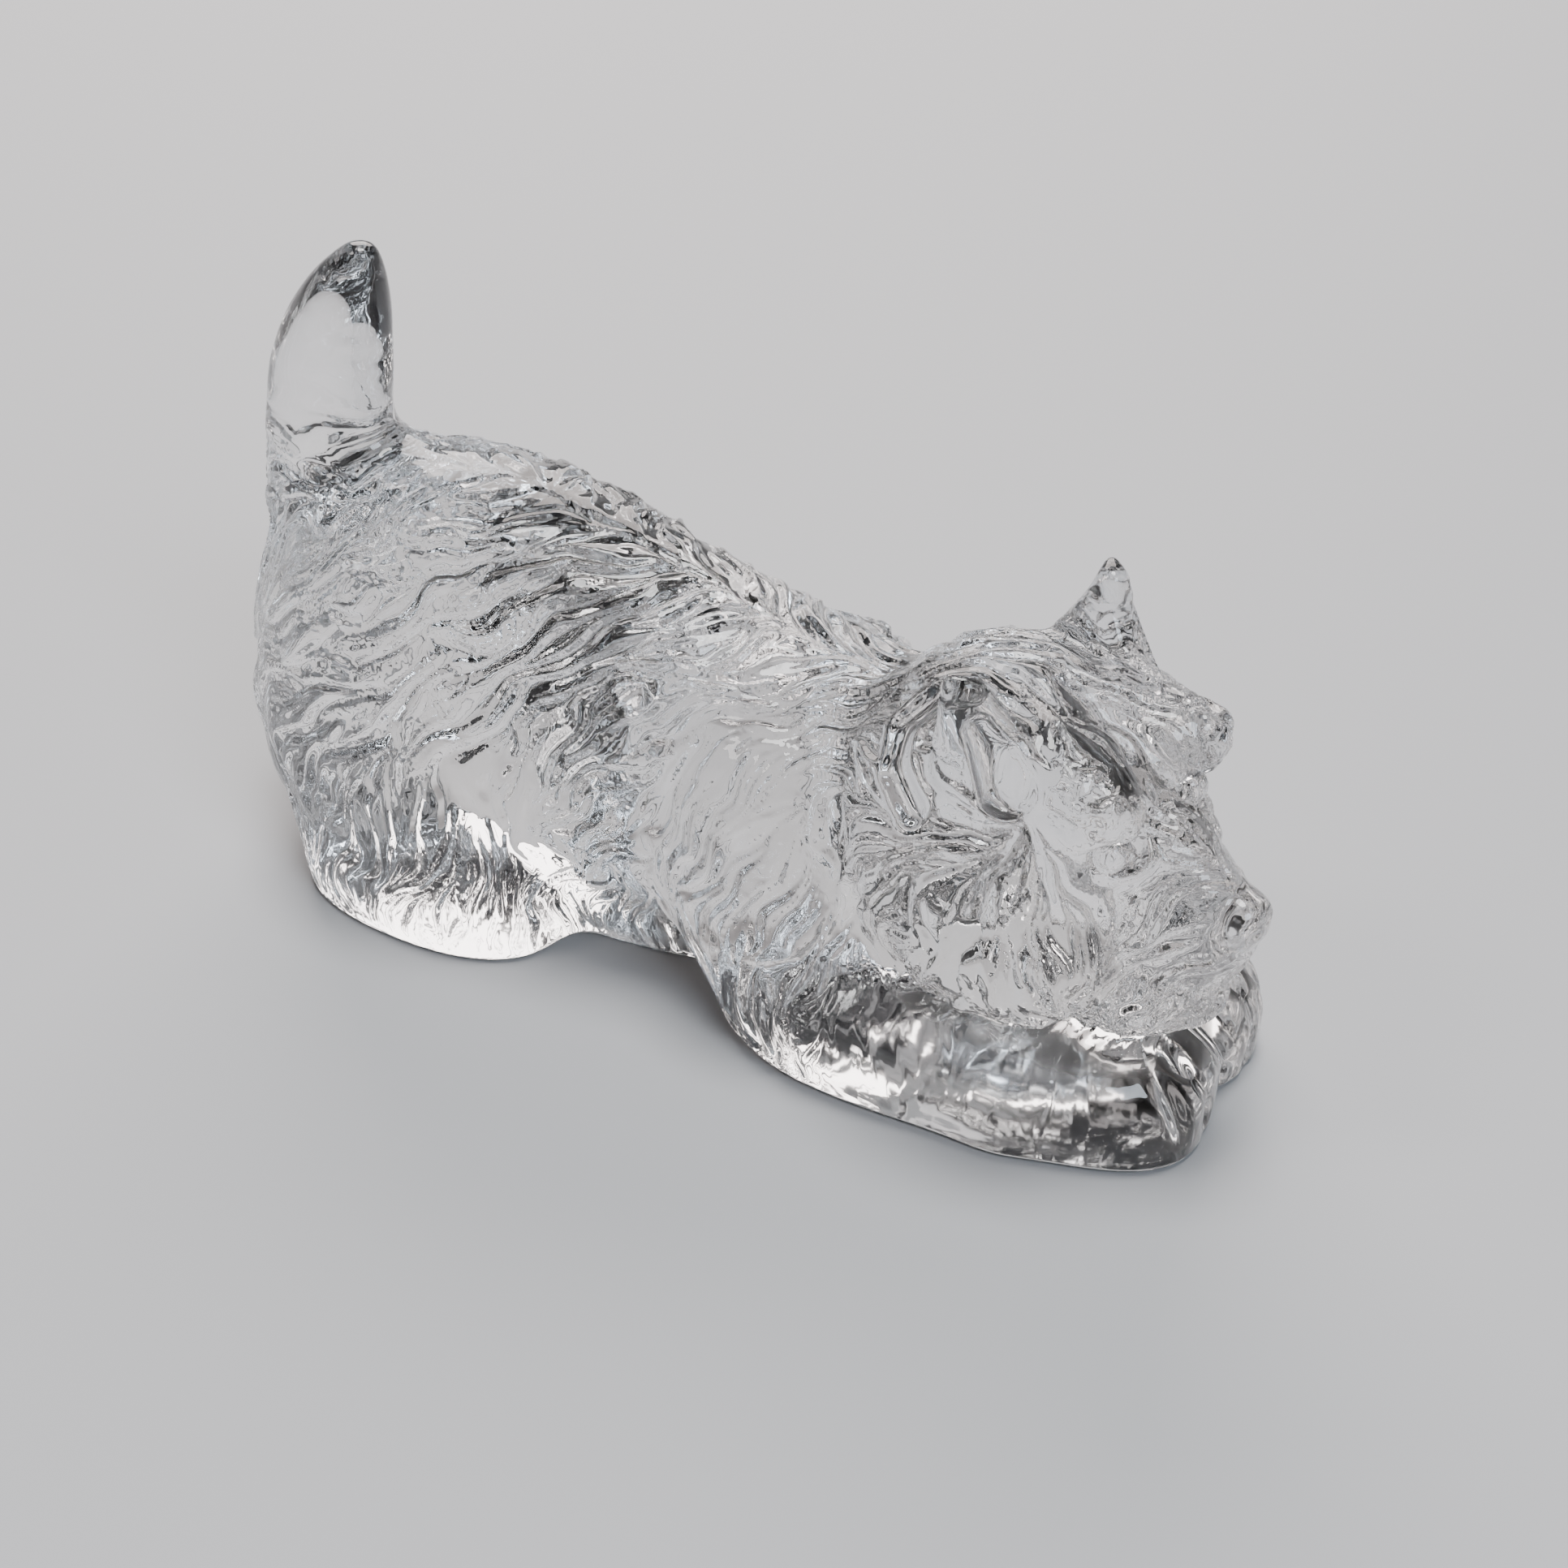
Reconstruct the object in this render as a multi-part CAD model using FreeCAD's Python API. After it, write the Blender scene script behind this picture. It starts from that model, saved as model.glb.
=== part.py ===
import FreeCAD, Part
import math
import os

os.makedirs("parts", exist_ok=True)

# A crystal glass terrier in a play bow, chin on its forepaws and tail up.
# Millimetres. +X is forward (the nose end), +Y is the dog's left, +Z is up.
# The figure is one casting. Each node is one of its sculpted sections, cut so
# that neighbours meet face to face, and all stand on the flat ground base at z = 0.

# Driving dimensions of the figure
TRUNK_HALF = 23.0               # half the width of the trunk at the hips
HEAD_R = 23.5                   # the round head
HEAD_AT = (43.0, -3.0, 38.5)
HEAD_TURN = -10.5               # degrees the head is turned, toward the dog's right
BROW_R = 6.0                    # the dome over each eye
HIND_Y = 17.0                   # middle of each hind foot from the middle plane
WRIST_X = 52.0                  # where each foreleg becomes its paw
WRIST_Y = 12.0
WRIST_Z = 6.8
WRIST_W = 13.8                  # half width and half height of the wrist
WRIST_H = 9.0
PAW_SQUARE = 2.6                # how squared-off the forelegs and forepaws are
RING_POINTS = 12                # points on each rounded cross-section
MIDDLE_X = 0.4                  # middle of the finished length, which is moved to the origin
LARGE = 200.0                   # side of the blocks that trim the forms
SIDES = (("left", 1), ("right", -1))


def vec(x, y, z):
    return FreeCAD.Vector(x, y, z)


def scaled(shape, x, y, z):
    stretch = FreeCAD.Matrix()
    stretch.scale(vec(x, y, z))
    return shape.transformGeometry(stretch)


def place(shape, at, pitch=0.0, yaw=0.0):
    """Tips a form nose-down by pitch, turns it by yaw, both in degrees, and sets it down."""
    shape.rotate(vec(0, 0, 0), vec(0, 1, 0), pitch)
    shape.rotate(vec(0, 0, 0), vec(0, 0, 1), yaw)
    shape.translate(vec(*at))
    return shape


def ellipsoid(at, radii, pitch=0.0, yaw=0.0, seam=0.0):
    """Ellipsoid whose surface closes on the side at the angle seam, where it is hidden."""
    ball = Part.makeSphere(1.0)
    ball.rotate(vec(0, 0, 0), vec(0, 0, 1), seam)
    return place(scaled(ball, *radii), at, pitch, yaw)


def ring(centre, across, up, half_w, half_h, squareness, taper):
    """Closed smooth outline: an ellipse squared off, and narrowed toward its top by taper."""
    points = []
    for i in range(RING_POINTS):
        angle = 2 * math.pi * i / RING_POINTS
        c = math.cos(angle)
        s = math.sin(angle)
        u = math.copysign(abs(c) ** (2 / squareness), c)
        v = math.copysign(abs(s) ** (2 / squareness), s)
        points.append(centre + across * (half_w * u * (1 - taper * v)) + up * (half_h * v))
    curve = Part.BSplineCurve()
    curve.interpolate(points, PeriodicFlag=True)
    return Part.Wire(curve.toShape())


def level_loft(levels, squareness=2.3):
    """Solid through level outlines, each (z, x, y, half length, half width)."""
    wires = []
    for z, x, y, half_l, half_w in levels:
        wires.append(ring(vec(x, y, z), vec(1, 0, 0), vec(0, 1, 0), half_l, half_w, squareness, 0))
    return Part.makeLoft(wires, True, False)


def upright_loft(stations, squareness=2.3, taper=0.0):
    """Solid through upright outlines, each (x, y, middle z, half width, half height)."""
    wires = []
    for x, y, z, half_w, half_h in stations:
        wires.append(ring(vec(x, y, z), vec(0, 1, 0), vec(0, 0, 1), half_w, half_h, squareness, taper))
    return Part.makeLoft(wires, True, False)


def on_head(x, y, z):
    """Place in the figure of a point given from the head's middle, nose along +x."""
    turn = math.radians(HEAD_TURN)
    along = HEAD_AT[0] + x * math.cos(turn) - y * math.sin(turn)
    across = HEAD_AT[1] + x * math.sin(turn) + y * math.cos(turn)
    return (along, across, HEAD_AT[2] + z)


def head_ellipsoid(at, radii, pitch=0.0, yaw=0.0):
    return ellipsoid(on_head(*at), radii, pitch, HEAD_TURN + yaw, seam=180.0)


def make_torso():
    return upright_loft([
        (-66.0, 0, 40.0, 15.0, 17.0),
        (-52.0, 0, 37.0, 21.5, 24.5),
        (-30.0, 0, 36.0, TRUNK_HALF, 26.0),
        (-8.0, 0, 32.5, 20.5, 24.8),
        (22.0, 0, 28.5, 19.5, 22.5),
        (38.0, -2.0, 31.0, 15.0, 17.0),
    ], taper=0.14)


def make_rump():
    return ellipsoid((-50.0, 0, 31.0), (28.0, 22.0, 27.5))


def make_tail():
    """Upright tail, broad fore and aft at its root, leaning back and then up."""
    levels = [
        (46.0, -62.0, 13.4, 9.5),
        (58.0, -64.8, 11.0, 8.0),
        (70.0, -63.4, 9.6, 6.6),
        (84.0, -58.8, 6.2, 4.8),
        (91.0, -55.4, 1.8, 1.8),
    ]
    return level_loft([(z, x, 0, half_l, half_w) for z, x, half_l, half_w in levels], 2.0)


def make_thigh(side):
    return ellipsoid((-46.5, side * 14.0, 25.0), (22.5, 14.5, 31.0), pitch=-6.0, seam=-side * 90.0)


def make_hind_foot(side):
    return level_loft([
        (0.0, -40.0, side * HIND_Y, 21.0, 11.4),
        (6.0, -40.5, side * HIND_Y, 21.5, 12.4),
        (20.0, -41.0, side * 15.0, 17.0, 10.0),
    ])


def make_belly():
    """The glass between the legs, which runs down to the flat ground base."""
    return level_loft([
        (0.0, -28.0, 0, 34.0, 13.0),
        (6.0, -28.0, 0, 36.0, 15.5),
        (24.0, -28.0, 0, 36.0, 18.0),
    ], 3.0)


def make_head():
    return place(Part.makeSphere(HEAD_R), HEAD_AT)


def make_cheek(side):
    return head_ellipsoid((5.0, side * 9.0, -6.5), (18.5, 14.5, 14.5), pitch=6.0)


def make_muzzle():
    return head_ellipsoid((20.0, 0, -2.0), (15.0, 10.5, 10.0), pitch=16.0)


def make_beard():
    return head_ellipsoid((18.5, 0, -11.5), (14.0, 12.5, 10.5))


def make_nose():
    return head_ellipsoid((33.2, 0, 0.4), (3.0, 4.2, 4.0), pitch=20.0)


def make_ear(side):
    """Pricked ear, a cone flattened a little, its opening turned out, leaning back."""
    cone = scaled(Part.makeCone(7.0, 1.3, 18.5), 0.8, 1.0, 1.0)
    cone.rotate(vec(0, 0, 0), vec(0, 0, 1), side * 48.0)
    cone.rotate(vec(0, 0, 0), vec(1, 0, 0), -side * 9.0)
    return place(cone, on_head(4.4, side * 13.4, 12.8), pitch=-14.0, yaw=HEAD_TURN)


def make_brow(side):
    """Heavy brow, a low dome on the head above and outside each eye."""
    return place(Part.makeSphere(BROW_R), on_head(15.8, side * 8.4, 13.6))


def make_eye(side):
    return head_ellipsoid((20.8, side * 7.2, 8.6), (3.2, 3.0, 3.0))


def make_shoulder(side):
    return ellipsoid((14.0, side * 12.5, 22.0), (17.0, 12.0, 26.0), pitch=-14.0, seam=-side * 90.0)


def make_foreleg(side):
    """Each foreleg lies along the ground and meets the other on the middle plane."""
    return upright_loft([
        (4.0, side * 8.0, 8.0, 8.0, 9.0),
        (14.0, side * 11.2, 8.0, 13.0, 10.0),
        (30.0, side * 12.2, 7.6, 14.7, 10.0),
        (WRIST_X, side * WRIST_Y, WRIST_Z, WRIST_W, WRIST_H),
    ], PAW_SQUARE)


def make_forepaw(side):
    return upright_loft([
        (WRIST_X, side * WRIST_Y, WRIST_Z, WRIST_W, WRIST_H),
        (62.0, side * 10.4, 6.6, 11.6, 8.6),
        (70.0, side * 8.8, 6.0, 9.4, 7.6),
        (74.5, side * 8.0, 5.2, 5.6, 4.6),
    ], PAW_SQUARE)


def trimmed(shape, side=0):
    """The form above the base, and on its own side of the middle plane if it has one."""
    kept = shape.cut(Part.makeBox(LARGE, LARGE, LARGE, vec(-LARGE / 2, -LARGE / 2, -LARGE)))
    if side:
        corner = -LARGE if side > 0 else 0
        kept = kept.cut(Part.makeBox(LARGE, LARGE, LARGE, vec(-LARGE / 2, corner, -LARGE / 2)))
    return kept


parts = {}


def add(name, shape, side=0):
    """Keeps what a form adds to the sections already made, as one closed solid."""
    left_over = trimmed(shape, side)
    box = left_over.BoundBox
    others = [other for other in parts.values() if other.BoundBox.intersect(box)]
    if others:
        left_over = left_over.cut(others)
    parts[name] = max(left_over.Solids, key=lambda solid: solid.Volume)


def add_pair(name, make, split=True):
    for word, side in SIDES:
        add(word + "_" + name, make(side), side if split else 0)


add("head", make_head())
add("torso", make_torso())
add("rump", make_rump())
add("tail", make_tail())
add_pair("thigh", make_thigh)
add_pair("hind_foot", make_hind_foot)
add("belly", make_belly())
add_pair("cheek", make_cheek, False)
add("muzzle", make_muzzle())
add("beard", make_beard())
add("nose", make_nose())
add_pair("brow", make_brow, False)
add_pair("eye", make_eye, False)
add_pair("ear", make_ear, False)
add_pair("shoulder", make_shoulder)
add_pair("foreleg", make_foreleg)
add_pair("forepaw", make_forepaw)

for name, shape in parts.items():
    shape.translate(vec(-MIDDLE_X, 0, 0))
    shape.exportStep("parts/" + name + ".step")
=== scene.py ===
import math

import bpy
import numpy as np
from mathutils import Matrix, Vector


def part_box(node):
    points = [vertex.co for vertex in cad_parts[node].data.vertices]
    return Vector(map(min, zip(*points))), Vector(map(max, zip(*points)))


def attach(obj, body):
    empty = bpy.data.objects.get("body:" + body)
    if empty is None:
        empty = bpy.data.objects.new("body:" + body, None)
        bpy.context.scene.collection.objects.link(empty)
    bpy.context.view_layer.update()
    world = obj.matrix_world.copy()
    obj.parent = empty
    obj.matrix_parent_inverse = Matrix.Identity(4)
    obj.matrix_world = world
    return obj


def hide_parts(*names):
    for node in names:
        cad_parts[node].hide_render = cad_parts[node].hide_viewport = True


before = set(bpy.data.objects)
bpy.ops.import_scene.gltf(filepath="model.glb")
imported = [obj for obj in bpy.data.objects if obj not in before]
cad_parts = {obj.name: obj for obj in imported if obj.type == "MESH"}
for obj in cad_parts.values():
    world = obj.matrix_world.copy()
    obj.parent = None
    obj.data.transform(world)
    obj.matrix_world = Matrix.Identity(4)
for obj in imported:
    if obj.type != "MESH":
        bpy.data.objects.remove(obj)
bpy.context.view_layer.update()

import openvdb as vdb
from mathutils import Vector

# The figure is one clear casting, so one closed skin stands for all the frame's sections.
# It is worked out in millimetres, in the frame's own axes, and scaled to metres at the end.

MM = 0.001
SEED = 20261
CELL = 0.36    # fineness of the skin's grid
COARSE = 2                                # the flow of the fur is held on every second cell
PAD = 4.0                                 # empty rim round the figure

rng = np.random.default_rng(SEED)


def node_mesh(name):
    """Points in millimetres and triangles of one of the frame's nodes."""
    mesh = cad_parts[name].data
    mesh.calc_loop_triangles()
    points = np.empty(len(mesh.vertices) * 3, np.float32)
    mesh.vertices.foreach_get("co", points)
    corners = np.empty(len(mesh.loop_triangles) * 3, np.int32)
    mesh.loop_triangles.foreach_get("vertices", corners)
    return points.reshape(-1, 3) / MM, corners.reshape(-1, 3)


def node_middle(name):
    """Middle of the box round a node, in millimetres."""
    points = node_mesh(name)[0]
    return (points.min(0) + points.max(0)) / 2


def smoothstep(low, high, value):
    """Goes smoothly from 0 at low to 1 at high, whichever of the two is larger."""
    t = np.clip((value - low) / (high - low), 0.0, 1.0)
    return t * t * (3 - 2 * t)


def mix(a, b, t):
    """a where t is 0 and b where t is 1."""
    return a * (1 - t) + b * t


def smooth_union(a, b, k):
    """Two fields joined, with a fillet about k wide."""
    t = np.clip(0.5 + 0.5 * (b - a) / k, 0.0, 1.0)
    return b * (1 - t) + a * t - k * t * (1 - t)


def smooth_carve(a, b, k):
    """What is left of a after b is taken out of it."""
    return -smooth_union(-a, b, k)


# ---------------------------------------------------------------- the solid on a grid

class Grid:
    """A block of cells round the whole figure."""

    def __init__(self, low, high, cell):
        self.cell = cell
        self.first = np.floor((low - PAD) / cell).astype(int)
        self.shape = (np.ceil((high + PAD) / cell).astype(int) - self.first + 1)
        self.axes = [(self.first[i] + np.arange(self.shape[i])) * cell for i in range(3)]

    def window(self, low, high):
        """Slices of the cells between two corners, and their places."""
        cuts = []
        for i in range(3):
            a = int(np.clip(math.floor(low[i] / self.cell) - self.first[i], 0, self.shape[i] - 1))
            b = int(np.clip(math.ceil(high[i] / self.cell) - self.first[i] + 1, a + 1, self.shape[i]))
            cuts.append(slice(a, b))
        places = [self.axes[i][cuts[i]].astype(np.float32) for i in range(3)]
        x = places[0][:, None, None]
        y = places[1][None, :, None]
        z = places[2][None, None, :]
        return tuple(cuts), x, y, z


def figure_grid():
    """The grid that holds every node and the empty rim."""
    points = np.concatenate([node_mesh(name)[0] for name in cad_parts])
    return Grid(points.min(0), points.max(0), CELL)


def filled(grid, names):
    """1 in every cell inside the named sections, and mirrored below the flat base."""
    points = []
    corners = []
    count = 0
    for name in names:
        p, c = node_mesh(name)
        points.append(p)
        corners.append(c + count)
        count += len(p)
    level = vdb.FloatGrid.createLevelSetFromPolygons(
        np.concatenate(points).astype(np.float32), triangles=np.concatenate(corners).astype(np.uint32),
        transform=vdb.createLinearTransform(voxelSize=grid.cell), halfWidth=3.0)
    values = np.empty(tuple(grid.shape), np.float32)
    level.copyToArray(values, ijk=tuple(int(v) for v in grid.first))
    inside = (values < 0).astype(np.float32)
    ground = -int(grid.first[2])
    inside[:, :, :ground] = inside[:, :, 2 * ground:ground:-1]
    return inside


def blurred(values, width, cell):
    """Gaussian blur, width in millimetres."""
    spread = width / cell
    reach = int(math.ceil(spread * 2.6))
    taps = np.exp(-0.5 * (np.arange(-reach, reach + 1) / spread) ** 2)
    taps = (taps / taps.sum()).astype(np.float32)
    for axis in range(3):
        moved = np.moveaxis(values, axis, 0)
        out = np.zeros_like(moved)
        size = moved.shape[0]
        for i, tap in enumerate(taps):
            shift = i - reach
            a = max(0, -shift)
            b = min(size, size - shift)
            out[a:b] += tap * moved[a + shift:b + shift]
        values = np.moveaxis(out, 0, axis)
    return np.ascontiguousarray(values)


def rounded_form(inside, width, cell):
    """Near-distance field of the filled cells after rounding them by width."""
    return (0.5 - blurred(inside, width, cell)) * (width * math.sqrt(2 * math.pi))


# ---------------------------------------------------------------- the head's own frame

HEAD_R = 23.5
HEAD = node_middle("head")
HEAD[0] = node_mesh("head")[0][:, 0].max() - HEAD_R      # its own radius back from its front
NOSE = node_middle("nose")
TURN = math.atan2(NOSE[1] - HEAD[1], NOSE[0] - HEAD[0])

# Places on the head in its own frame, in millimetres: forward, out to each side, up
EYE = (19.0, 8.2, 8.8)
EYE_RADII = (2.3, 2.5, 2.3)
SOCKET = (20.6, 8.4, 9.6)
SOCKET_RADII = (3.4, 4.4, 2.8)
EYE_BARE = (20.5, 8.2, 9.0)         # middle of the smooth patch round the eye
TEMPLE = (11.0, 15.4, 13.5)         # behind and outside the eye, where the hair radiates from
BROW = ((9.0, 7.5, 15.5), (19.4, 9.6, 15.8))
NOSTRIL = (36.2, 1.9, 0.6)
NOSTRIL_RADII = (1.3, 0.9, 0.8)
NOSE_BARE = (34.0, 0.0, 0.5)        # middle of the smooth nose
BRIDGE = ((22.0, 0.0, 5.0), (30.4, 0.0, 0.9))
FURROW = ((7.0, 0.0, 24.0), (21.0, 0.0, 14.4))      # down the middle of the forehead
MOUTH = ((35.2, -6.0, -9.0), (35.2, 6.0, -9.0))
EAR_TIP = (1.6, 14.6, 27.6)
EAR_TIP_R = 1.7
EAR_ROOTS = (((3.6, 12.4, 15.0), 7.4), ((-0.6, 8.6, 16.0), 5.0))      # each with its radius
EAR_HOLLOW = ((9.0, 15.4, 17.6), (5.0, 16.4, 24.0))
HOLLOW_RADII = (4.0, 2.0)
EAR_TRENCH = ((-6.4, 9.6, 21.4), (-9.0, 14.2, 18.0), (-7.0, 18.6, 14.8), (-1.8, 21.2, 12.2))
TRENCH_RADII = (2.3, 2.3)


def on_side(place, side):
    """A place on the right (-1) or left (1) of the head."""
    return place[0], side * place[1], place[2]


def sided(places, side):
    """The same for several places."""
    return [on_side(place, side) for place in places]


def ear_trench(side):
    """The runs of the smooth furrow that curves down behind the ear."""
    turns = sided(EAR_TRENCH, side)
    return list(zip(turns[:-1], turns[1:]))


def to_head(x, y, z):
    """Figure place to the head's own frame: x toward the nose, y to its left, z up."""
    dx = x - HEAD[0]
    dy = y - HEAD[1]
    c = math.cos(TURN)
    s = math.sin(TURN)
    return dx * c + dy * s, dy * c - dx * s, z - HEAD[2]


def from_head(x, y, z):
    """A place in the head's own frame to the figure's."""
    c = math.cos(TURN)
    s = math.sin(TURN)
    return np.array([HEAD[0] + x * c - y * s, HEAD[1] + x * s + y * c, HEAD[2] + z])


def ball_field(x, y, z, centre, radii):
    """Near-distance to an ellipsoid."""
    a = (x - centre[0]) / radii[0]
    b = (y - centre[1]) / radii[1]
    c = (z - centre[2]) / radii[2]
    r = np.sqrt(a * a + b * b + c * c)
    return (r - 1) * min(radii)


def bar_field(x, y, z, start, end, r0, r1):
    """Distance to a round bar that tapers from r0 to r1."""
    ax, ay, az = start
    bx, by, bz = (end[i] - start[i] for i in range(3))
    t = ((x - ax) * bx + (y - ay) * by + (z - az) * bz) / (bx * bx + by * by + bz * bz)
    t = np.clip(t, 0, 1)
    d = np.sqrt((x - ax - t * bx) ** 2 + (y - ay - t * by) ** 2 + (z - az - t * bz) ** 2)
    return d - (r0 + (r1 - r0) * t)


def head_feature(grid, field, shape, low, high, join, k):
    """Joins one form, given in the head's frame, to the field or carves it out, as join says."""
    corners = np.array([from_head(x, y, z) for x in (low[0], high[0])
                        for y in (low[1], high[1]) for z in (low[2], high[2])])
    cuts, x, y, z = grid.window(corners.min(0), corners.max(0))
    hx, hy, hz = to_head(x, y, z)
    field[cuts] = join(field[cuts], shape(hx, hy, hz), k)


def near(centre, reach):
    """Low and high corners of the block that reaches that far from the centre."""
    return [v - reach for v in centre], [v + reach for v in centre]


def join_bar(grid, field, ends, radii, block, join, k):
    """A bar as a head feature, worked out inside the block."""
    head_feature(grid, field, lambda x, y, z: bar_field(x, y, z, *ends, *radii), *block, join, k)


def join_ball(grid, field, centre, radii, reach, join, k):
    """An ellipsoid as a head feature, worked out that far round its centre."""
    head_feature(grid, field, lambda x, y, z: ball_field(x, y, z, centre, radii),
                 *near(centre, reach), join, k)


def model_ear(grid, field, side):
    """Pricked ear, broad at its root, with a hollow that opens forward and outward."""
    tip = on_side(EAR_TIP, side)
    for root, root_r in EAR_ROOTS:
        join_bar(grid, field, (on_side(root, side), tip), (root_r, EAR_TIP_R),
                 near((2.0, side * 13.0, 20.0), 16.0), smooth_union, 1.2)
    join_bar(grid, field, sided(EAR_HOLLOW, side), HOLLOW_RADII,
             near((6.0, side * 16.0, 21.0), 11.0), smooth_carve, 0.5)
    for run in ear_trench(side):
        join_bar(grid, field, run, TRENCH_RADII, near(run[0], 12.0), smooth_carve, 0.9)


def model_face(grid, field):
    """Ears, brows that overhang the eyes, sockets, eyes, nostrils, bridge, furrow and mouth."""
    for side in (-1, 1):
        model_ear(grid, field, side)
        join_bar(grid, field, sided(BROW, side), (6.6, 3.4),
                 near((15.0, side * 8.5, 15.0), 16.0), smooth_union, 3.0)
        join_ball(grid, field, on_side(SOCKET, side), SOCKET_RADII, 6.5, smooth_carve, 1.0)
        join_ball(grid, field, on_side(EYE, side), EYE_RADII, 4.0, smooth_union, 0.3)
        join_ball(grid, field, on_side(NOSTRIL, side), NOSTRIL_RADII, 2.5, smooth_carve, 0.4)
    join_bar(grid, field, BRIDGE, (6.0, 4.0), near((26.0, 0.0, 3.0), 15.0), smooth_union, 2.0)
    join_bar(grid, field, FURROW, (1.4, 1.8), near((14.0, 0.0, 19.0), 14.0), smooth_carve, 2.0)
    join_bar(grid, field, MOUTH, (1.6, 1.6), near(MOUTH[0], 14.0), smooth_carve, 1.6)


TOE_GROOVES = 3
FIRST_TOE = -36.0         # degrees from the paw's front, minus on its outer side
TOE_STEP = 30.0
TOE_FAN = 9.5             # the toes fan out from this far ahead of the paw's back
TOE_TOP = (8.4, 14.6)     # how far out and how high each groove starts
TOE_FOOT = (14.6, 1.5)    # and where it ends


def carve_bar(grid, field, top, foot, radii, margin, k):
    """Carves a bar, given in the figure's own axes, out of the field."""
    cuts, x, y, z = grid.window(np.minimum(top, foot) - margin, np.maximum(top, foot) + margin)
    field[cuts] = smooth_carve(field[cuts], bar_field(x, y, z, top, foot, *radii), k)


def model_paws(grid, field):
    """The short grooves that part the toes, and the crease between the forepaws."""
    for side in (-1, 1):
        low, high = [np.array(v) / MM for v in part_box(("right" if side < 0 else "left") + "_forepaw")]
        middle = np.array([low[0] + TOE_FAN, (low[1] + high[1]) / 2, 0.0])
        for toe in range(TOE_GROOVES):
            turn = math.radians(FIRST_TOE + TOE_STEP * toe) * -side
            out = np.array([math.cos(turn), math.sin(turn), 0.0])
            top = middle + out * TOE_TOP[0] + np.array([0, 0, TOE_TOP[1]])
            foot = middle + out * TOE_FOOT[0] + np.array([0, 0, TOE_FOOT[1]])
            carve_bar(grid, field, top, foot, (0.8, 0.6), 4, 1.8)
    high = np.array(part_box("left_forepaw")[1]) / MM
    top = np.array([high[0] - 12.0, 0.0, 15.5])
    foot = np.array([high[0] + 0.6, 0.0, 0.0])
    carve_bar(grid, field, top, foot, (1.4, 1.4), 5, 2.0)


BROAD_ROUNDING = 2.6      # how far the sections of the body run into each other
FINE_ROUNDING = 1.0       # the same on the head and the tail
GROUND_EDGE = 1.0         # softness of the edge round the ground base
EMPTY = 3.0               # what the field is taken to be beyond the grid


def solid_field(grid):
    """The whole figure before the fur is cut."""
    inside = filled(grid, list(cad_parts))
    broad = rounded_form(inside, BROAD_ROUNDING, grid.cell)
    fine = rounded_form(inside, FINE_ROUNDING, grid.cell)
    x = grid.axes[0].astype(np.float32)[:, None, None]
    z = grid.axes[2].astype(np.float32)[None, None, :]
    head = smoothstep(24.0, 34.0, x) * smoothstep(15.0, 20.0, z)
    tail = smoothstep(64.0, 72.0, z)
    field = mix(broad, fine, np.maximum(head, tail))
    model_face(grid, field)
    model_paws(grid, field)
    return smooth_carve(field, z, GROUND_EDGE)


# ---------------------------------------------------------------- fur

STRAND_WIDTH = 1.15       # cell of the noise that makes the fine strands
STRAND_DEPTH = 0.30
LOCK_WIDTH = 2.8          # the same for the broader locks
LOCK_DEPTH = 0.52
FUR_SUNK = 0.25           # the carving is cut in, so few strands stand above the form
BEND = 0.42               # radians the hair strays in broad bends
BEND_WIDTH = 6.0
KINK = 0.35               # the same in small kinks
KINK_WIDTH = 2.8
CURL = 1.9                # how much more it strays at the tail's root and in the beard
STREAM_STEPS = 20         # each strand is followed this many steps both ways
STREAM_STEP = 0.5
SHELL = 3.0               # the flow is worked out where the field is within this of 0

TILE = 64
tiles = [rng.standard_normal((TILE, TILE, TILE)).astype(np.float32) for _ in range(4)]


def noise(points, size, tile):
    """Smooth noise that repeats every TILE cells of the given size."""
    p = points / size
    base = np.floor(p).astype(np.int32)
    f = (p - base).astype(np.float32)
    f = f * f * (3 - 2 * f)
    base &= TILE - 1
    after = (base + 1) & (TILE - 1)
    flat = tile.ravel()
    total = 0
    for i in (0, 1):
        ix = after[:, 0] if i else base[:, 0]
        wx = f[:, 0] if i else 1 - f[:, 0]
        for j in (0, 1):
            iy = after[:, 1] if j else base[:, 1]
            wy = f[:, 1] if j else 1 - f[:, 1]
            for k in (0, 1):
                iz = after[:, 2] if k else base[:, 2]
                wz = f[:, 2] if k else 1 - f[:, 2]
                total = total + flat[(ix * TILE + iy) * TILE + iz] * (wx * wy * wz)
    return total


def sampled(values, grid, points):
    """Field value between the cells."""
    p = points / grid.cell - grid.first
    base = np.floor(p).astype(np.int32)
    base = np.clip(base, 0, np.array(values.shape) - 2)
    f = (p - base).astype(np.float32)
    total = 0
    for i in (0, 1):
        wx = f[:, 0] if i else 1 - f[:, 0]
        for j in (0, 1):
            wy = f[:, 1] if j else 1 - f[:, 1]
            for k in (0, 1):
                wz = f[:, 2] if k else 1 - f[:, 2]
                corner = values[base[:, 0] + i, base[:, 1] + j, base[:, 2] + k]
                total = total + corner * (wx * wy * wz)
    return total


def outward(values, grid, points):
    """Unit normals of the field's skin."""
    step = grid.cell
    parts = []
    for axis in range(3):
        shift = np.zeros(3)
        shift[axis] = step
        parts.append(sampled(values, grid, points + shift) - sampled(values, grid, points - shift))
    normal = np.stack(parts, 1)
    return normal / (np.linalg.norm(normal, axis=1, keepdims=True) + 1e-9)


def unit(v):
    """Each row at a length of 1."""
    return v / (np.linalg.norm(v, axis=1, keepdims=True) + 1e-9)


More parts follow.
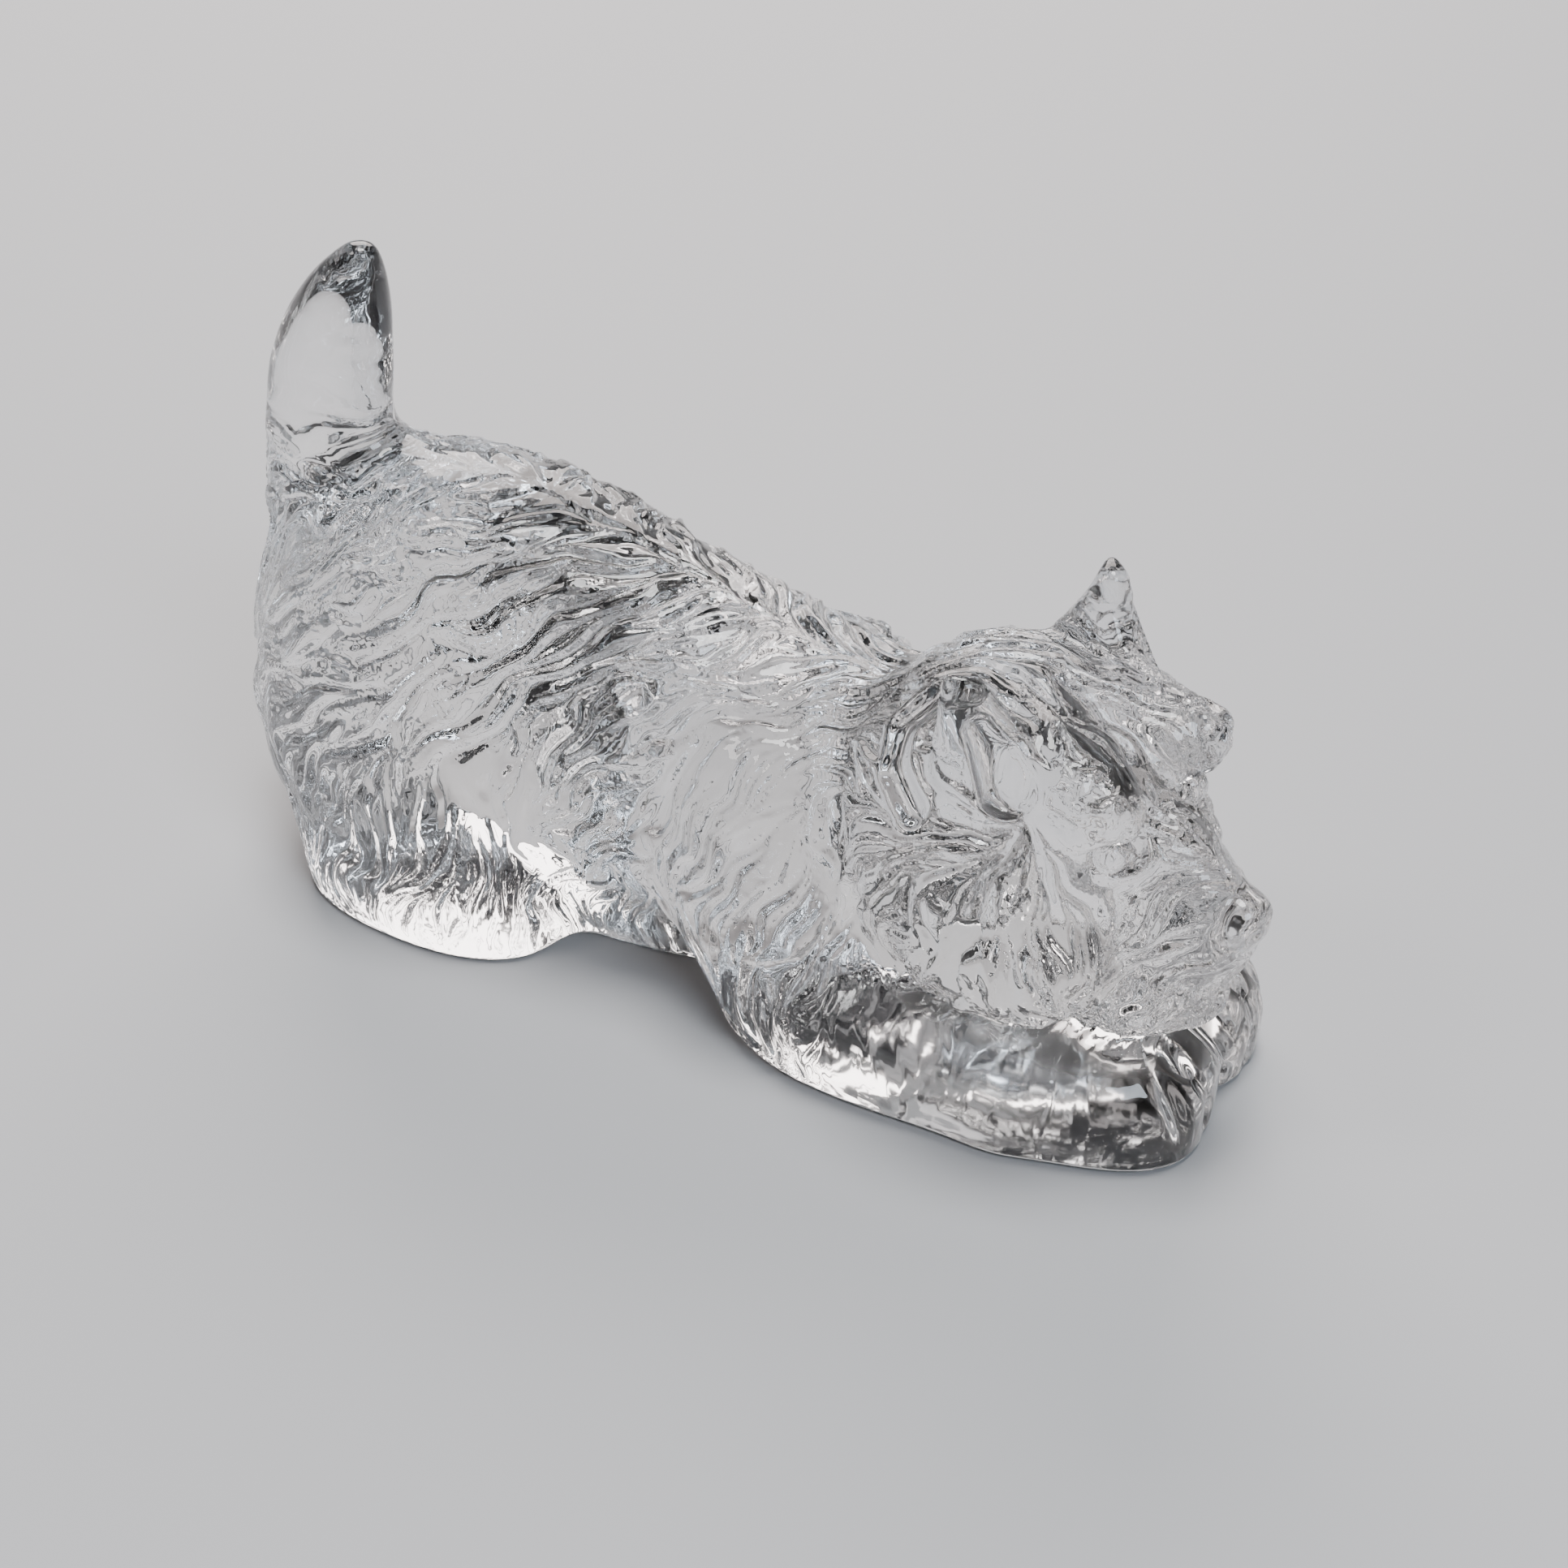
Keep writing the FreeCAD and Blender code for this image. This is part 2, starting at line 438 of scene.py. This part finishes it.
def comb_direction(p):
    """Which way the hair lies at each place, before it is laid on the skin."""
    x, y, z = p[:, 0], p[:, 1], p[:, 2]
    # the body: hanging straight low down, swept back and outward higher up
    flank = np.tanh(y / 1.5)
    high = smoothstep(8.0, 56.0, z)
    lean = mix(0.05, 1.0, high)
    haunch = smoothstep(-24.0, -44.0, x)
    lean = lean + 0.35 * haunch * smoothstep(16.0, 40.0, z)
    body = np.stack([-np.sin(lean), flank * 0.75 * high, -np.cos(lean)], 1)

    # the head: swept back on top, hanging lower down, laid back along the snout
    hx, hy, hz = to_head(x, y, z)
    hside = np.tanh(hy / 2.0)
    low = smoothstep(11.0, 1.0, hz)
    back = np.stack([-1.0 + 0 * hx, hside * 0.25, 0.35 + 0 * hx], 1)
    down = np.stack([-0.10 + 0 * hx, hside * 0.06, -1.0 + 0 * hx], 1)
    head = mix(back, down, low[:, None])
    snout = smoothstep(21.0, 29.0, hx)[:, None]
    swept = np.stack([-0.75 + 0 * hx, hside * 0.5, mix(0.0, -0.9, low)], 1)
    head = mix(head, swept, snout)
    # radiating from each temple
    for side in (-1, 1):
        temple = on_side(TEMPLE, side)
        away = np.stack([hx - temple[0], hy - temple[1], hz - temple[2]], 1)
        reach = np.linalg.norm(away, axis=1)
        pull = smoothstep(17.0, 7.0, reach)[:, None]
        head = mix(head, unit(away) * 1.4, pull)
    # standing up along the ears
    ear = (smoothstep(19.0, 23.0, hz) * smoothstep(9.0, 12.0, np.abs(hy)))[:, None]
    upright = np.stack([-0.2 + 0 * hx, 0 * hx, 1.0 + 0 * hx], 1)
    head = mix(head, upright, ear)
    c = math.cos(TURN)
    s = math.sin(TURN)
    head = np.stack([head[:, 0] * c - head[:, 1] * s, head[:, 0] * s + head[:, 1] * c, head[:, 2]], 1)
    on_head = smoothstep(29.0, 25.5, np.sqrt(hx * hx + hy * hy + hz * hz)) * smoothstep(15.0, 19.0, z)
    on_head = np.maximum(on_head, smoothstep(15.0, 18.0, hx) * smoothstep(15.0, 18.0, z))
    return mix(body, head, on_head[:, None])


def distance(hx, hy, hz, place):
    """How far each point is from a place on the head."""
    return np.sqrt((hx - place[0]) ** 2 + (hy - place[1]) ** 2 + (hz - place[2]) ** 2)


def bare_face(p):
    """1 on the forehead, brows and bridge, where the carving is broad and smooth."""
    hx, hy, hz = to_head(p[:, 0], p[:, 1], p[:, 2])
    return smoothstep(5.0, 11.0, hx) * smoothstep(1.0, 7.0, hz) * smoothstep(19.0, 13.0, np.abs(hy))


def fur_depth(p):
    """How deep the carving is at each place, 0 on the smooth parts."""
    x, y, z = p[:, 0], p[:, 1], p[:, 2]
    hx, hy, hz = to_head(x, y, z)
    r = np.sqrt(hx * hx + hy * hy + hz * hz)
    on_head = np.maximum(smoothstep(29.0, 26.5, r), smoothstep(15.0, 18.0, hx)) * smoothstep(15.0, 18.5, z)
    depth = np.ones_like(x)
    tail = smoothstep(58.0, 66.0, z) * (x < -40)
    depth *= 1 - 0.97 * tail
    foreleg = smoothstep(20.0, 34.0, x) * (1 - on_head)
    depth *= 1 - 0.9 * foreleg
    hind = smoothstep(14.0, 5.0, z) * (x < -10)
    depth *= 1 - 0.75 * hind
    elbow = smoothstep(14.0, 5.0, z) * (x > -10)
    depth *= 1 - 0.45 * elbow
    depth *= smoothstep(0.6, 2.4, z)
    ear = smoothstep(20.0, 24.0, hz) * smoothstep(9.0, 12.0, np.abs(hy))
    depth *= 1 - 0.75 * ear
    depth *= smoothstep(4.4, 6.6, distance(hx, hy, hz, NOSE_BARE))
    for side in (-1, 1):
        depth *= smoothstep(2.8, 4.6, distance(hx, hy, hz, on_side(EYE_BARE, side)))
        for run in ear_trench(side):
            depth *= smoothstep(0.4, 1.6, bar_field(hx, hy, hz, *run, *TRENCH_RADII))
        hollow = bar_field(hx, hy, hz, *sided(EAR_HOLLOW, side), *HOLLOW_RADII)
        depth *= smoothstep(0.2, 1.4, hollow)
    parting = np.exp(-((y - 1.4) / 1.7) ** 2) * smoothstep(30.0, 40.0, z) * smoothstep(-2.0, -14.0, x)
    depth *= 1 - 0.85 * parting
    beard = smoothstep(2.0, -8.0, hz) * on_head
    return depth * (1 + 0.05 * on_head + 0.3 * beard)


def lay_fur(field, grid, points):
    """Height of the carved hair at each point of the skin."""
    coarse = field[::COARSE, ::COARSE, ::COARSE]
    spread = grid.cell * COARSE
    shape = coarse.shape
    slope = np.stack(np.gradient(coarse), -1).reshape(-1, 3).astype(np.float32)
    index = np.indices(shape).reshape(3, -1).T
    places = (index * spread + grid.first * grid.cell).astype(np.float32)
    shell = np.abs(coarse.ravel()) < SHELL
    normal = unit(slope[shell])
    place = places[shell]
    lie = comb_direction(place).astype(np.float32)
    lie = unit(lie - (lie * normal).sum(1, keepdims=True) * normal)
    x, z = place[:, 0], place[:, 2]
    curl = smoothstep(44.0, 54.0, z) * smoothstep(-34.0, -46.0, x)
    curl += smoothstep(36.0, 28.0, z) * smoothstep(18.0, 22.0, z) * smoothstep(30.0, 38.0, x)
    swing = BEND * noise(place, BEND_WIDTH, tiles[0]) + KINK * noise(place + 40.0, KINK_WIDTH, tiles[1])
    swing = swing * mix(1.0, CURL, curl)
    lie = lie * np.cos(swing)[:, None] + np.cross(normal, lie) * np.sin(swing)[:, None]
    flow = np.zeros((coarse.size, 3), np.float32)
    flow[shell] = lie

    def direction(q):
        i = np.rint((q / grid.cell - grid.first) / COARSE).astype(np.int32)
        i = np.clip(i, 0, np.array(shape) - 1)
        return flow[(i[:, 0] * shape[1] + i[:, 1]) * shape[2] + i[:, 2]]

    strand = noise(points, STRAND_WIDTH, tiles[2])
    lock = noise(points, LOCK_WIDTH, tiles[3])
    for way in (-1, 1):
        q = points.copy()
        for i in range(STREAM_STEPS):
            q += direction(q) * (way * STREAM_STEP)
            fade = 1 - (i / STREAM_STEPS) ** 2
            strand = strand + fade * noise(q, STRAND_WIDTH, tiles[2])
            lock = lock + noise(q, LOCK_WIDTH, tiles[3])
    strand /= strand.std()
    lock /= lock.std()
    fine = 1 - 0.75 * bare_face(points)
    return fine * STRAND_DEPTH * np.tanh(strand) + LOCK_DEPTH * rounded_locks(lock) - FUR_SUNK


def rounded_locks(streaks):
    """Rounded locks parted by soft grooves."""
    return np.minimum(np.sqrt(streaks ** 2 + 0.12), 1.8) - 0.9


def build_skin():
    """Points in metres, triangles and quads of the furred skin."""
    grid = figure_grid()
    field = solid_field(grid)
    level = vdb.FloatGrid()
    level.background = EMPTY
    level.copyFromArray(field.astype(np.float32), ijk=tuple(int(v) for v in grid.first))
    level.transform = vdb.createLinearTransform(voxelSize=grid.cell)
    points, triangles, quads = level.convertToPolygons(isovalue=0.0, adaptivity=0.0)
    points = points.astype(np.float32)
    normals = outward(field, grid, points)
    fur = lay_fur(field, grid, points) * fur_depth(points)
    points = points + normals * fur[:, None]
    points[:, 2] = np.maximum(points[:, 2], 0.0)
    return points * MM, triangles, quads


def mesh_object(name, points, triangles, quads):
    """A smooth-shaded object from points in metres, triangles and quads."""
    mesh = bpy.data.meshes.new(name)
    corners = np.concatenate([triangles.ravel(), quads.ravel()]).astype(np.int32)
    sizes = np.concatenate([np.full(len(triangles), 3), np.full(len(quads), 4)]).astype(np.int32)
    starts = np.concatenate([[0], np.cumsum(sizes)[:-1]]).astype(np.int32)
    mesh.vertices.add(len(points))
    mesh.vertices.foreach_set("co", points.astype(np.float32).ravel())
    mesh.loops.add(len(corners))
    mesh.loops.foreach_set("vertex_index", corners)
    mesh.polygons.add(len(sizes))
    mesh.polygons.foreach_set("loop_start", starts)
    mesh.polygons.foreach_set("use_smooth", np.ones(len(sizes), bool))
    mesh.update(calc_edges=True)
    mesh.validate()
    piece = bpy.data.objects.new(name, mesh)
    bpy.context.scene.collection.objects.link(piece)
    return piece


# ---------------------------------------------------------------- glass

GLASS_IOR = 1.54
CLEAR_ROUGHNESS = 0.015
GROUND_ROUGHNESS = 0.06   # on the ground base


def crystal_glass():
    """Clear glass, faintly cool and warm in places, waved by its mould, duller on its ground face."""
    material = bpy.data.materials.new("clear_crystal")
    material.use_nodes = True
    tree = material.node_tree
    shader = tree.nodes["Principled BSDF"]
    shader.inputs["Transmission Weight"].default_value = 1.0
    shader.inputs["IOR"].default_value = GLASS_IOR
    place = tree.nodes.new("ShaderNodeNewGeometry")

    tint = tree.nodes.new("ShaderNodeTexNoise")
    tint.inputs["Scale"].default_value = 28.0
    tint.inputs["Detail"].default_value = 2.0
    tree.links.new(place.outputs["Position"], tint.inputs["Vector"])
    colours = tree.nodes.new("ShaderNodeValToRGB")
    colours.color_ramp.elements[0].position = 0.35
    colours.color_ramp.elements[0].color = (0.955, 0.965, 0.985, 1)
    colours.color_ramp.elements[1].position = 0.65
    colours.color_ramp.elements[1].color = (0.99, 0.98, 0.975, 1)
    tree.links.new(tint.outputs["Fac"], colours.inputs["Fac"])
    tree.links.new(colours.outputs["Color"], shader.inputs["Base Color"])

    split = tree.nodes.new("ShaderNodeSeparateXYZ")
    tree.links.new(place.outputs["Position"], split.inputs["Vector"])
    ground = tree.nodes.new("ShaderNodeMapRange")
    ground.inputs["From Min"].default_value = 0.0001
    ground.inputs["From Max"].default_value = 0.0006
    ground.inputs["To Min"].default_value = GROUND_ROUGHNESS
    ground.inputs["To Max"].default_value = CLEAR_ROUGHNESS
    tree.links.new(split.outputs["Z"], ground.inputs["Value"])
    tree.links.new(ground.outputs["Result"], shader.inputs["Roughness"])

    waves = tree.nodes.new("ShaderNodeTexNoise")
    waves.inputs["Scale"].default_value = 260.0
    waves.inputs["Detail"].default_value = 1.5
    tree.links.new(place.outputs["Position"], waves.inputs["Vector"])
    bump = tree.nodes.new("ShaderNodeBump")
    bump.inputs["Strength"].default_value = 0.12
    bump.inputs["Distance"].default_value = 0.0002
    tree.links.new(waves.outputs["Fac"], bump.inputs["Height"])
    tree.links.new(bump.outputs["Normal"], shader.inputs["Normal"])
    return material


points, triangles, quads = build_skin()
casting = mesh_object("crystal_casting", points, triangles, quads)
casting.data.materials.append(crystal_glass())
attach(casting, "root")
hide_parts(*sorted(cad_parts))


# ---------------------------------------------------------------- studio

AIR_GAP = 0.0002          # between the ground base and the floor, so the base mirrors inside
FLOOR_SIZE = 40.0
FLOOR_COLOUR = (0.52, 0.52, 0.53, 1)


def pale_floor():
    """Wide plain floor just under the ground base."""
    bpy.ops.mesh.primitive_plane_add(size=FLOOR_SIZE, location=(0, 0, -AIR_GAP))
    floor = bpy.context.object
    floor.name = "floor"
    material = bpy.data.materials.new("pale_floor")
    material.use_nodes = True
    shader = material.node_tree.nodes["Principled BSDF"]
    shader.inputs["Base Color"].default_value = FLOOR_COLOUR
    shader.inputs["Roughness"].default_value = 0.6
    floor.data.materials.append(material)


def soft_light(name, place, aim, size, power, colour):
    """Rectangular lamp, in metres and watts, turned toward aim."""
    light = bpy.data.lights.new(name, "AREA")
    light.shape = "RECTANGLE"
    light.size = size[0]
    light.size_y = size[1]
    light.energy = power
    light.color = colour
    lamp = bpy.data.objects.new(name, light)
    bpy.context.scene.collection.objects.link(lamp)
    lamp.location = place
    lamp.rotation_euler = (Vector(aim) - Vector(place)).to_track_quat("-Z", "Y").to_euler()


def soft_sun():
    """Light from almost straight above, as strong over the whole floor."""
    light = bpy.data.lights.new("sun", "SUN")
    light.energy = 2.9
    light.angle = math.radians(25.0)
    lamp = bpy.data.objects.new("sun", light)
    bpy.context.scene.collection.objects.link(lamp)
    lamp.rotation_euler = (math.radians(-3.0), 0.0, 0.0)


def studio():
    """Cool window ahead on the right, warm room behind on the left, small wall lamp behind."""
    pale_floor()
    aim = (0.0, 0.0, 0.04)
    soft_light("window", (0.60, -0.36, 0.75), aim, (0.35, 0.35), 4.4, (0.80, 0.89, 1.0))
    soft_light("room", (-0.45, 0.68, 0.56), aim, (0.8, 0.5), 9.0, (1.0, 0.92, 0.89))
    soft_light("wall", (-0.42, -0.42, 0.80), aim, (0.22, 0.22), 1.3, (1.0, 0.95, 0.93))
    soft_sun()
    bpy.context.scene.world = studio_dome()


def studio_dome():
    """Pale walls low down and a dim ceiling, so the clear glass has something to show."""
    world = bpy.data.worlds.new("studio")
    world.use_nodes = True
    tree = world.node_tree
    place = tree.nodes.new("ShaderNodeTexCoord")
    split = tree.nodes.new("ShaderNodeSeparateXYZ")
    tree.links.new(place.outputs["Generated"], split.inputs["Vector"])
    ramp = tree.nodes.new("ShaderNodeValToRGB")
    ramp.color_ramp.elements[0].position = 0.12
    ramp.color_ramp.elements[0].color = (0.48, 0.48, 0.49, 1)
    ramp.color_ramp.elements[1].position = 0.36
    ramp.color_ramp.elements[1].color = (0.010, 0.010, 0.012, 1)
    tree.links.new(split.outputs["Z"], ramp.inputs["Fac"])
    tree.links.new(ramp.outputs["Color"], tree.nodes["Background"].inputs["Color"])
    return world


def camera():
    """Looks down on the figure from its right side, a little ahead of it."""
    azimuth = math.radians(30.0)      # round from its right side toward its front
    height = math.radians(38.0)
    away = 0.31875                    # metres from the point it is aimed at
    aim = Vector((0.01085, -0.00656, 0.03281))
    level = math.cos(height)
    back = Vector((math.sin(azimuth) * level, -math.cos(azimuth) * level, math.sin(height)))
    data = bpy.data.cameras.new("camera")
    data.sensor_width = 36.0
    data.lens = 55.9
    data.clip_start = 0.01
    eye = bpy.data.objects.new("camera", data)
    bpy.context.scene.collection.objects.link(eye)
    eye.location = aim + back * away
    eye.rotation_euler = (-back).to_track_quat("-Z", "Y").to_euler()
    bpy.context.scene.camera = eye


studio()
camera()
bpy.context.scene.cycles.caustics_refractive = False
bpy.context.scene.cycles.caustics_reflective = False
